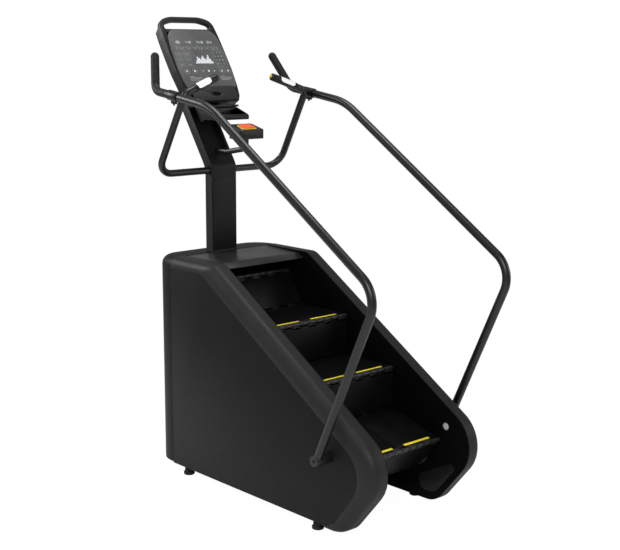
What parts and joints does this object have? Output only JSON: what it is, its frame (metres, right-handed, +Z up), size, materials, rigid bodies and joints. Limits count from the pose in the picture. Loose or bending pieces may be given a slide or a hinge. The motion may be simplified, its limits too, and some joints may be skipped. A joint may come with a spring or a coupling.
{
  "type": "stair climber",
  "caption": "Revolving-stairs climber: a belt of hinged steps between two sloping side frames, with a mast, console, hand grips and long side rails.",
  "frame": {"origin": "centre of the machine's box at floor level", "axes": "+Z up; +Y from the user towards the console; +X to the user's right"},
  "size_m": [0.88, 1.8216, 2.2171],
  "materials": {
    "cover": "fine textured powder coat",
    "wall": "satin black",
    "trim": "moulded, semi-gloss",
    "frame": "powder coat",
    "foot_rubber": "matte",
    "sensor": "diffusing lens",
    "chain": "oiled steel",
    "contact_plate": "polished",
    "tube": "satin powder coat",
    "grip": "dimpled",
    "clamp": "satin",
    "black_plastic": "fine grain",
    "deck": "semi-gloss",
    "console": "fine grain",
    "tread": "ribbed, with yellow inserts",
    "riser": "smooth",
    "steel": "machined",
    "stop_red": "smooth",
    "yellow": "smooth"
  },
  "bodies": {
    "machine": {"side_panel_left": "cover", "inner_wall_left": "wall", "trim_left": "trim", "frame_side_left": "frame", "foot_rear_left": "foot_rubber", "foot_front_left": "foot_rubber", "step_sensor_left": "sensor", "chain_left": "chain", "pulse_plate_left": "contact_plate", "side_rail_left": "tube", "horn_grip_left": "grip", "rail_clamp_left": "clamp", "side_panel_right": "cover", "inner_wall_right": "wall", "trim_right": "trim", "frame_side_right": "frame", "foot_rear_right": "foot_rubber", "foot_front_right": "foot_rubber", "step_sensor_right": "sensor", "chain_right": "chain", "pulse_plate_right": "contact_plate", "side_rail_right": "tube", "horn_grip_right": "grip", "rail_clamp_right": "clamp", "loop_tube": "frame", "base_frame": "frame", "rear_cover": "cover", "power_inlet": "black_plastic", "deck_cover": "deck", "drive_belt": "grip", "brake_generator": "frame", "mast": "cover", "mast_front_cover": "cover", "u_frame": "tube", "console_shell": "console", "console_face": "console", "console_bracket": "cover", "accessory_tray": "black_plastic", "stop_arm": "tube", "stop_housing": "black_plastic"},
    "tread_0": {"tread_0": "tread"},
    "riser_0": {"riser_0": "riser"},
    "tread_1": {"tread_1": "tread"},
    "riser_1": {"riser_1": "riser"},
    "tread_2": {"tread_2": "tread"},
    "riser_2": {"riser_2": "riser"},
    "tread_3": {"tread_3": "tread"},
    "riser_3": {"riser_3": "riser"},
    "tread_4": {"tread_4": "tread"},
    "riser_4": {"riser_4": "riser"},
    "tread_5": {"tread_5": "tread"},
    "riser_5": {"riser_5": "riser"},
    "tread_6": {"tread_6": "tread"},
    "riser_6": {"riser_6": "riser"},
    "shaft_lower": {"shaft_lower": "steel"},
    "shaft_upper": {"shaft_upper": "steel"},
    "brake_pulley": {"brake_pulley": "steel"},
    "stop_button": {"stop_button": "stop_red"},
    "speed_button_left": {"speed_button_left": "yellow"},
    "speed_button_right": {"speed_button_right": "yellow"}
  },
  "joints": [
    {"name": "upper_shaft_turn", "type": "hinge", "parent": "machine", "child": "shaft_upper", "pos_m": [0, 0.35588, 0.74346], "axis": [1, 0, 0], "range_deg": [-6, 6]},
    {"name": "lower_shaft_turn", "type": "hinge", "parent": "machine", "child": "shaft_lower", "pos_m": [0, -0.5371, 0.2407], "axis": [1, 0, 0], "range_deg": [-12.2, 12.2]},
    {"name": "brake_turn", "type": "hinge", "parent": "machine", "child": "brake_pulley", "pos_m": [0, 0.208, 0.15], "axis": [1, 0, 0], "range_deg": [-22.4, 22.4]},
    {"name": "tread_0_swing", "type": "hinge", "parent": "machine", "child": "tread_0", "pos_m": [0, 0.3454, 0.75172], "axis": [1, 0, 0], "range_deg": [-5.48, 5.48]},
    {"name": "riser_0_swing", "type": "hinge", "parent": "machine", "child": "riser_0", "pos_m": [0, 0.34257, 0.65488], "axis": [1, 0, 0], "range_deg": [-3.81, 3.81]},
    {"name": "tread_1_travel", "type": "slide", "parent": "machine", "child": "tread_1", "axis": [0, -0.8438, -0.5367], "range_m": [-0.0118, 0.0118]},
    {"name": "riser_1_travel", "type": "slide", "parent": "machine", "child": "riser_1", "axis": [0, -0.8438, -0.5367], "range_m": [-0.0118, 0.0118]},
    {"name": "tread_2_travel", "type": "slide", "parent": "machine", "child": "tread_2", "axis": [0, -0.8438, -0.5367], "range_m": [-0.0118, 0.0118]},
    {"name": "riser_2_travel", "type": "slide", "parent": "machine", "child": "riser_2", "axis": [0, -0.8438, -0.5367], "range_m": [-0.0118, 0.0118]},
    {"name": "tread_3_swing", "type": "hinge", "parent": "machine", "child": "tread_3", "pos_m": [0, -0.20507, 0.14723], "axis": [1, 0, 0], "range_deg": [-2.18, 2.18]},
    {"name": "riser_3_swing", "type": "hinge", "parent": "machine", "child": "riser_3", "pos_m": [0, -0.53414, 0.278], "axis": [1, 0, 0], "range_deg": [-7.3, 7.3]},
    {"name": "tread_4_swing", "type": "hinge", "parent": "machine", "child": "tread_4", "pos_m": [0, -0.49294, 0.79625], "axis": [1, 0, 0], "range_deg": [-1.12, 1.12]},
    {"name": "riser_4_swing", "type": "hinge", "parent": "machine", "child": "riser_4", "pos_m": [0, -0.7307, 1.39433], "axis": [1, 0, 0], "range_deg": [-0.59, 0.59]},
    {"name": "tread_5_travel", "type": "slide", "parent": "machine", "child": "tread_5", "axis": [0, 0.8965, 0.4431], "range_m": [-0.0118, 0.0118]},
    {"name": "riser_5_travel", "type": "slide", "parent": "machine", "child": "riser_5", "axis": [0, 0.8965, 0.4431], "range_m": [-0.0118, 0.0118]},
    {"name": "tread_6_swing", "type": "hinge", "parent": "machine", "child": "tread_6", "pos_m": [0, -0.3079, 1.3678], "axis": [1, 0, 0], "range_deg": [-0.72, 0.72]},
    {"name": "riser_6_swing", "type": "hinge", "parent": "machine", "child": "riser_6", "pos_m": [0, -0.0665, 1.07622], "axis": [1, 0, 0], "range_deg": [-1.06, 1.06]},
    {"name": "stop_button_press", "type": "slide", "parent": "machine", "child": "stop_button", "axis": [0, 0, -1], "range_m": [0, 0.0045], "stiffness_N_per_m": 1200},
    {"name": "speed_button_left_press", "type": "slide", "parent": "machine", "child": "speed_button_left", "axis": [-0.9382, -0.1095, -0.3284], "range_m": [0, 0.0028], "stiffness_N_per_m": 1000},
    {"name": "speed_button_right_press", "type": "slide", "parent": "machine", "child": "speed_button_right", "axis": [0.9382, -0.1095, -0.3284], "range_m": [0, 0.0028], "stiffness_N_per_m": 1000}
  ],
  "couplings": [
    {"joint": "lower_shaft_turn", "follows": "upper_shaft_turn", "ratio": 2},
    {"joint": "brake_turn", "follows": "upper_shaft_turn", "ratio": 3.6692},
    {"joint": "tread_0_swing", "follows": "upper_shaft_turn", "ratio": 0.89188},
    {"joint": "riser_0_swing", "follows": "upper_shaft_turn", "ratio": 0.61937},
    {"joint": "tread_1_travel", "follows": "upper_shaft_turn", "m_per_rad": 0.11},
    {"joint": "riser_1_travel", "follows": "upper_shaft_turn", "m_per_rad": 0.11},
    {"joint": "tread_2_travel", "follows": "upper_shaft_turn", "m_per_rad": 0.11},
    {"joint": "riser_2_travel", "follows": "upper_shaft_turn", "m_per_rad": 0.11},
    {"joint": "tread_3_swing", "follows": "upper_shaft_turn", "ratio": 0.3525},
    {"joint": "riser_3_swing", "follows": "upper_shaft_turn", "ratio": 1.1903},
    {"joint": "tread_4_swing", "follows": "upper_shaft_turn", "ratio": 0.17965},
    {"joint": "riser_4_swing", "follows": "upper_shaft_turn", "ratio": 0.09362},
    {"joint": "tread_5_travel", "follows": "upper_shaft_turn", "m_per_rad": 0.11},
    {"joint": "riser_5_travel", "follows": "upper_shaft_turn", "m_per_rad": 0.11},
    {"joint": "tread_6_swing", "follows": "upper_shaft_turn", "ratio": 0.11413},
    {"joint": "riser_6_swing", "follows": "upper_shaft_turn", "ratio": 0.16983}
  ]
}
